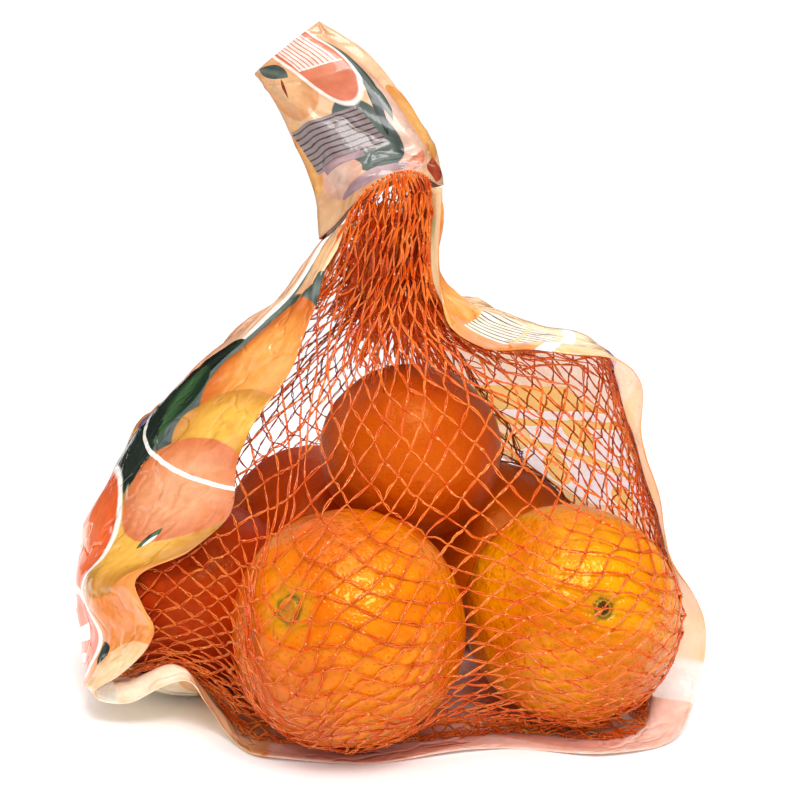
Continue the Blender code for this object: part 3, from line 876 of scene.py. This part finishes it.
# Motifs in the order they are printed: shape, ink, place along and across, half sizes, turn.
BAND_PRINT = (
    ("disc", "peach", 58, 150, 30, 30, 0),
    ("leaf", "leaf", 40, 168, 16, 9, -30),
    ("disc", "gold", 118, 158, 34, 32, 0),
    ("leaf", "dark_leaf", 86, 136, 18, 10, 50),
    ("leaf", "leaf", 150, 128, 16, 9, -20),
    ("disc", "amber", 176, 160, 28, 30, 0),
    ("disc", "peach", 228, 150, 26, 34, 0),
    ("disc", "gold", 484, 40, 24, 28, 0),
    ("disc", "peach", 470, 150, 26, 30, 0),
    ("leaf", "leaf", 498, 22, 14, 8, 30),
    ("leaf", "dark_leaf", 452, 130, 14, 8, -40),
    ("disc", "amber", 570, 160, 26, 28, 0),
    ("leaf", "leaf", 588, 136, 14, 8, 20),
    ("block", "grey_leaf", 44, 60, 62, 34, 0),
    ("block", "beige", 10, 14, 20, 28, 0),
    ("leaf", "grey_leaf", 30, 6, 26, 7, 70),
    ("shield", "white", 30, 92, 45, 44, 20),
    ("shield", "pale_with_painted_light", 30, 93, 41, 40, 20),
    ("disc", "fruit", 61, 16, 30, 33, 0),
    ("leaf", "dark_leaf", 70, 70, 24, 14, 40),
    ("leaf", "leaf", 84, 60, 22, 17, -35),
    ("disc", "violet", 92, 98, 7, 8, 0),
    ("disc", "gold", 92, 14, 18, 27, 0),
    ("foliage", "dark_leaf", 107, 72, 22, 26, 0),
    ("disc", "gold", 139, 30, 31, 31, 0),
    ("disc", "peach", 119, 22, 22, 29, 0),
    ("block", "white", 106, 43, 50, 0.9, -72),
    ("leaf", "leaf", 139, 24, 5.5, 2.4, 25),
    ("leaf", "white", 140, 23, 3.2, 1.1, 25),
    ("disc", "white", 147, 80, 36, 38, 0),
    ("disc", "orange", 147, 81, 33.5, 35.5, 0),
    ("shield", "pale_with_painted_light", 150, 90, 22, 9, 48),
    ("disc", "white", 189, 66, 24, 34, 0),
    ("disc", "orange", 189, 67, 21, 31, 0),
    ("block", "white", 184, 62, 13, 3.0, 80),
    ("block", "white", 195, 60, 10, 2.5, 80),
    ("leaf", "dark_leaf", 190, 27, 7, 4, -40),
    ("disc", "pale", 200, 8, 16, 20, 0),
    ("block", "ivory", 234, 60, 22, 90, 0),
    ("disc", "pale", 268, 20, 24, 34, 0),
    ("block", "blush", 376, 92, 88, 95, 0),
    ("disc", "pink", 330, 30, 40, 30, 0),
    ("disc", "pink", 395, 40, 34, 34, 0),
    ("leaf", "rust", 352, 11, 9, 1.0, 4),
    ("block", "warm_bars", 474, 74, 13, 13, 12),
    ("leaf", "violet", 452, 40, 5, 3, 70),
    ("leaf", "violet", 459, 34, 5, 2.5, 70),
    ("block", "brown", 522, 72, 8, 14, 20),
    ("block", "white", 527, 132, 21, 52, 4),
    ("disc", "ember", 512, 112, 5, 9, 10),
    ("disc", "ember", 536, 128, 6, 10, -20),
    ("disc", "ember", 520, 150, 7, 8, 20),
    ("disc", "gold", 534, 172, 9, 14, 4),
    ("block", "ember", 541, 132, 1.8, 50, 4),
    ("block", "ember", 527, 134, 1.6, 50, -6),
    ("block", "ember", 553, 132, 6, 50, 4),
    ("block", "dark_leaf", 514, 164, 4, 30, -30),
    ("leaf", "leaf", 500, 140, 10, 6, 30),
    ("block", "brown", 538, 88, 25, 2.6, 41),
    ("disc", "pale", 590, 70, 46, 74, 0),
    ("lined", "ruled_cream", 625, 36, 8, 22, 6),
    ("lined", "ruled_cream", 611, 38, 4.5, 20, 6),
    ("block", "white", 601, 46, 2.4, 62, 6),
    ("leaf", "violet", 585, 22, 2.6, 6, -20),
    ("leaf", "violet", 579, 16, 2.4, 5, 30),
    ("leaf", "grey_leaf", 662, 36, 12, 20, 20),
)
HEADER_PRINT = (
    ("disc", "beige", 52, 76, 24, 8, 0),
    ("disc", "sand", 56, 40, 18, 12, 0),
    ("disc", "amber", 32, 77, 17, 6.5, 0),
    ("disc", "rosy", 31, 68, 28, 5.5, 4),
    ("disc", "grey_leaf", 27, 57, 19, 8.5, 0),
    ("leaf", "grey_leaf", 53, 67, 19, 2.6, 3),
    ("leaf", "dark_leaf", 40, 64, 12, 1.2, 6),
    ("leaf", "grey_leaf", 67, 41, 9, 5, -30),
    ("leaf", "rust", 54, 42, 6, 0.7, 12),
    ("disc", "white", 76, 57.5, 35, 11, 0),
    ("disc", "coral", 76, 57.5, 33, 9.6, 0),
    ("lined", "stripes", 71, 56.5, 11, 7, 0),
    ("block", "white", 60.5, 57.5, 0.3, 7.5, 4),
    ("disc", "rosy", 16, 44, 10, 8, 0),
    ("leaf", "amber", 25, 34, 14, 4, 0),
    ("lined", "ruled_grey", 30, 47, 14, 8.5, 76),
    ("block", "mauve", 21, 46, 8, 1.6, 76),
    ("leaf", "mauve", 8, 56, 4, 13, -12),
    ("leaf", "brick", 9, 76, 8, 6, 0),
    ("leaf", "coral", 12, 67, 9, 2, 20),
    ("block", "cream", 38, 150, 40, 34, 0),
    ("disc", "fruit", 40, 112, 26, 16, 0),
    ("disc", "peach", 30, 12, 26, 14, 0),
    ("leaf", "leaf", 60, 16, 14, 10, 40),
)


def motif_group(shape):
    """A node group that prints one motif of a shape over the colour below it."""
    tree = bpy.data.node_groups.new("motif_" + shape, "ShaderNodeTree")
    sockets = (("Place", "Vector"), ("Below", "Color"), ("Middle", "Color"), ("Rim", "Color"),
               ("Centre", "Vector"), ("Turn", "Vector"), ("Size", "Vector"))
    for name, sort in sockets:
        tree.interface.new_socket(name, in_out="INPUT", socket_type="NodeSocket" + sort)
    tree.interface.new_socket("Colour", in_out="OUTPUT", socket_type="NodeSocketColor")
    given = tree.nodes.new("NodeGroupInput").outputs
    local = add_node(
        tree, "ShaderNodeMapping",
        {"Vector": given["Place"], "Location": given["Centre"], "Rotation": given["Turn"], "Scale": given["Size"]},
        vector_type="TEXTURE",
    ).outputs[0]
    folded = add_node(tree, "ShaderNodeVectorMath", {0: local}, operation="ABSOLUTE").outputs[0]
    x, y, _ = add_node(tree, "ShaderNodeSeparateXYZ", {0: folded}).outputs
    squared = calculate(tree, "MULTIPLY", x, x)
    if shape == "disc":
        reach = add_node(tree, "ShaderNodeVectorMath", {0: local}, operation="LENGTH").outputs["Value"]
        tone = ramp(tree, reach, 0.35, 1.0)
    elif shape == "foliage":
        ragged = noise(tree, given["Place"], 0.16, 4.0, 0.7)
        far = add_node(tree, "ShaderNodeVectorMath", {0: local}, operation="LENGTH").outputs["Value"]
        reach = calculate(tree, "ADD", far, calculate(tree, "MULTIPLY", ragged, 0.5))
        reach = calculate(tree, "SUBTRACT", reach, 0.25)
        tone = ramp(tree, noise(tree, given["Place"], 0.9, 4.0, 0.8), 0.42, 0.6)
    elif shape == "leaf":
        reach = calculate(tree, "ADD", squared, y)
        tone = ramp(tree, y, 0.0, 0.7)
    elif shape == "shield":
        reach = calculate(tree, "MAXIMUM", calculate(tree, "MULTIPLY_ADD", squared, 0.45, y), x)
        tone = ramp(tree, x, 0.2, 1.0)
    else:
        reach = calculate(tree, "MAXIMUM", x, y)
        tone = ramp(tree, reach, 0.2, 1.0)
    if shape == "lined":
        along = add_node(tree, "ShaderNodeSeparateXYZ", {0: local}).outputs[1]
        bars = calculate(tree, "PINGPONG", calculate(tree, "MULTIPLY", along, 8.5), 1.0)
        tone = calculate(tree, "GREATER_THAN", bars, 0.72)
    ink = blend(tree, tone, given["Middle"], given["Rim"])
    mask = ramp(tree, reach, 1.0, 0.96)
    end = tree.nodes.new("NodeGroupOutput")
    tree.links.new(blend(tree, mask, given["Below"], ink), end.inputs["Colour"])
    return tree


def print_group(name, ground, motifs, shapes):
    """A node group that gives the printed colour at a place on the film, in millimetres."""
    tree = bpy.data.node_groups.new(name, "ShaderNodeTree")
    tree.interface.new_socket("Place", in_out="INPUT", socket_type="NodeSocketVector")
    tree.interface.new_socket("Colour", in_out="OUTPUT", socket_type="NodeSocketColor")
    place = tree.nodes.new("NodeGroupInput").outputs[0]
    first, second = INKS[ground]
    colour = blend(tree, ramp(tree, noise(tree, place, 0.03, 2.0), 0.35, 0.65), first, second)
    for shape, ink, along, across, half_along, half_across, turn in motifs:
        middle, rim = INKS[ink]
        colour = add_node(
            tree, "ShaderNodeGroup",
            {"Place": place, "Below": colour, "Middle": middle, "Rim": rim,
             "Centre": (along, across, 0), "Turn": (0, 0, math.radians(turn)),
             "Size": (half_along, half_across, 1)},
            node_tree=shapes[shape],
        ).outputs[0]
    end = tree.nodes.new("NodeGroupOutput")
    tree.links.new(colour, end.inputs["Colour"])
    return tree


def crease_lines(tree, place, scale, width):
    """Narrow winding valleys: where a smooth noise crosses its middle."""
    level = calculate(tree, "SUBTRACT", noise(tree, place, scale, 3.0, 0.6), 0.5)
    return ramp(tree, calculate(tree, "ABSOLUTE", level), 0.0, width)


def film_material(name, printed, inner, glow=0, gloss=0.8, depth=1.0):
    """Printed gloss film: the printed face, or the paler inner face that glows with the light behind and is tinted
    light orange with painted light.
    """
    made, tree, shader = new_material(
        name, Roughness=0.36, Specular_IOR_Level=0.4, Coat_Weight=gloss, Coat_Roughness=0.06, Coat_IOR=1.5
    )
    place = add_node(tree, "ShaderNodeUVMap", uv_map="print").outputs[0]
    bent = add_node(
        tree, "ShaderNodeTexNoise", {"Vector": place, "Scale": 0.12, "Detail": 2.0}
    ).outputs["Color"]
    shift = add_node(tree, "ShaderNodeVectorMath", {0: bent, 1: (0.5, 0.5, 0.5)}, operation="SUBTRACT").outputs[0]
    wavy = add_node(
        tree, "ShaderNodeVectorMath", {0: shift, 1: (1.0, 1.0, 0.0), 2: place}, operation="MULTIPLY_ADD"
    ).outputs[0]
    colour = add_node(tree, "ShaderNodeGroup", {0: wavy}, node_tree=printed).outputs[0]
    colour = add_node(tree, "ShaderNodeGamma", {0: colour, 1: 1.22}).outputs[0]
    # painted shade: a depth below one darkens the whole print
    colour = blend(tree, 1.0, colour, (depth, depth, depth, 1), "MULTIPLY")
    mottle = ramp(tree, noise(tree, place, 0.2, 5.0, 0.65), 0.3, 0.7)
    dense = blend(tree, 1.0, colour, (0.84, 0.76, 0.66, 1), "MULTIPLY")
    colour = blend(tree, mottle, dense, colour)
    if inner:
        # the inner face is mixed toward light orange: the pale back of the print, and painted light coming through
        # the film and off the net
        colour = blend(tree, inner, colour, srgb(252, 134, 66))
        shader.inputs["Subsurface Weight"].default_value = glow
        shader.inputs["Subsurface Radius"].default_value = (7.0, 3.2, 3.2)
        shader.inputs["Subsurface Scale"].default_value = MM
    tree.links.new(colour, shader.inputs["Base Color"])
    worn = ramp(tree, noise(tree, place, 0.020, 2.0), 0.50, 0.66)
    long_folds = crease_lines(tree, place, 0.022, 0.030)
    crinkles = crease_lines(tree, wavy, 0.13, 0.20)
    height = calculate(tree, "MULTIPLY_ADD", calculate(tree, "MULTIPLY", crinkles, worn), 0.3, long_folds)
    height = calculate(tree, "MULTIPLY_ADD", noise(tree, place, 0.05, 2.0), 1.8, height)
    bump = add_node(tree, "ShaderNodeBump", {"Strength": 0.35, "Distance": 0.0013, "Height": height}).outputs[0]
    tree.links.new(bump, shader.inputs["Normal"])
    tree.links.new(bump, shader.inputs["Coat Normal"])
    return made


# ---------------------------------------------------------------- stage

# Windows of the reflected surroundings: azimuth from the front, half width, lowest, highest.
FLAG_WINDOWS = ((-75, 14, 5, 60), (160, 25, 20, 60), (0, 180, 66, 90), (-20, 180, -90, -3))


def add_light(name, place, target, size, power):
    """A soft square light aimed at a point."""
    lamp = bpy.data.lights.new(name, "AREA")
    lamp.shape = "RECTANGLE"
    lamp.size, lamp.size_y = size
    lamp.energy = power
    made = bpy.data.objects.new(name, lamp)
    made.location = place
    made.rotation_euler = (Vector(target) - Vector(place)).to_track_quat("-Z", "Y").to_euler()
    made.visible_camera = False
    bpy.context.scene.collection.objects.link(made)


def add_flags():
    """A black dome with windows, seen only in reflections, that gives the gloss its contrast."""
    shape = bmesh.new()
    bmesh.ops.create_uvsphere(shape, u_segments=36, v_segments=24, radius=2.2)
    shut = [face for face in shape.faces if window_at(face.calc_center_median().normalized())]
    bmesh.ops.delete(shape, geom=shut, context="FACES")
    mesh = bpy.data.meshes.new("flags")
    shape.to_mesh(mesh)
    shape.free()
    black, _, _ = new_material("flag_black", Base_Color=(0.01, 0.01, 0.01, 1.0), Roughness=1.0)
    mesh.materials.append(black)
    flags = bpy.data.objects.new("flags", mesh)
    for rays in ("camera", "diffuse", "transmission", "volume_scatter", "shadow"):
        setattr(flags, "visible_" + rays, False)
    bpy.context.scene.collection.objects.link(flags)


def window_at(way):
    """Whether a direction looks out through one of the dome's windows."""
    turn = math.degrees(math.atan2(way.x, -way.y))
    rise = math.degrees(math.asin(way.z))
    return any(
        abs((turn - middle + 180) % 360 - 180) < half and low < rise < high
        for middle, half, low, high in FLAG_WINDOWS
    )


def add_stage():
    """White floor, white surroundings, one soft light from the front and above."""
    bpy.ops.mesh.primitive_plane_add(size=6.0, location=(0, 0, 0))
    floor = bpy.context.object
    floor.name = "floor"
    white, _, _ = new_material("floor_white", Base_Color=(0.975, 0.97, 0.965, 1.0), Specular_IOR_Level=0.0)
    floor.data.materials.append(white)
    world = bpy.data.worlds.new("white")
    world.use_nodes = True
    world.node_tree.nodes["Background"].inputs["Color"].default_value = (1, 1, 1, 1)
    world.node_tree.nodes["Background"].inputs["Strength"].default_value = 1.06
    bpy.context.scene.world = world
    add_light("key", (0.10, -0.445, 0.63), (0.01, -0.04, 0.06), (0.33, 0.22), 3.4)
    add_light("overhead", (-0.05, -0.05, 0.9), (0, 0, 0), (0.5, 0.4), 1.2)
    add_flags()


def add_camera():
    """The camera, level with the neck and looking slightly down."""
    lens = bpy.data.cameras.new("camera")
    lens.sensor_width = 36.0
    lens.lens = 52.49
    camera = bpy.data.objects.new("camera", lens)
    camera.location = ((NECK[0]) * MM, -0.4343, 0.1721)
    camera.rotation_euler = (math.radians(90 - 8.26), 0, 0)
    bpy.context.scene.collection.objects.link(camera)
    bpy.context.scene.camera = camera


def main():
    bpy.context.scene.view_settings.view_transform = "Standard"
    add_camera()
    add_stage()
    for number in range(len(ORANGES)):
        add_orange(number, peel_material(number))
    shapes = {shape: motif_group(shape) for shape in ("disc", "leaf", "block", "shield", "lined", "foliage")}
    band_print = print_group("band_print", "ground", BAND_PRINT, shapes)
    header_print = print_group("header_print", "beige", HEADER_PRINT, shapes)
    sheet = add_film(
        film_material("film_printed", band_print, 0), film_material("film_back", band_print, 0.2, 0.95),
        film_material("film_floor", band_print, 0.1),
    )
    # The header's print is darkened to 0.68: painted shade against the key lamp close above it.
    add_header(
        film_material("header_printed", header_print, 0, 0, 0.3, 0.68),
        film_material("header_back", header_print, 0.4, 0, 0.3, 0.68),
    )
    filament = net_material("net_filament", srgb(238, 94, 18), srgb(254, 134, 48), 0.3)
    # a lighter copy of the filament: painted light for the lining and the neck bundle, which lie in shade
    painted_light_filament = net_material("net_lining", srgb(252, 104, 14), srgb(255, 136, 36), 0.8)
    reach = taut_sheet()
    grids = [net_grid(sheet, reach, side) for side in (-1, 1)]
    add_net("net_front", grids[0], 5, filament, ("net_body",))
    add_net("net_back", grids[1], 4, filament, ())
    add_lining(sheet, painted_light_filament)
    add_neck_bundle(grids, painted_light_filament)
    add_selvedges(grids, filament)


main()
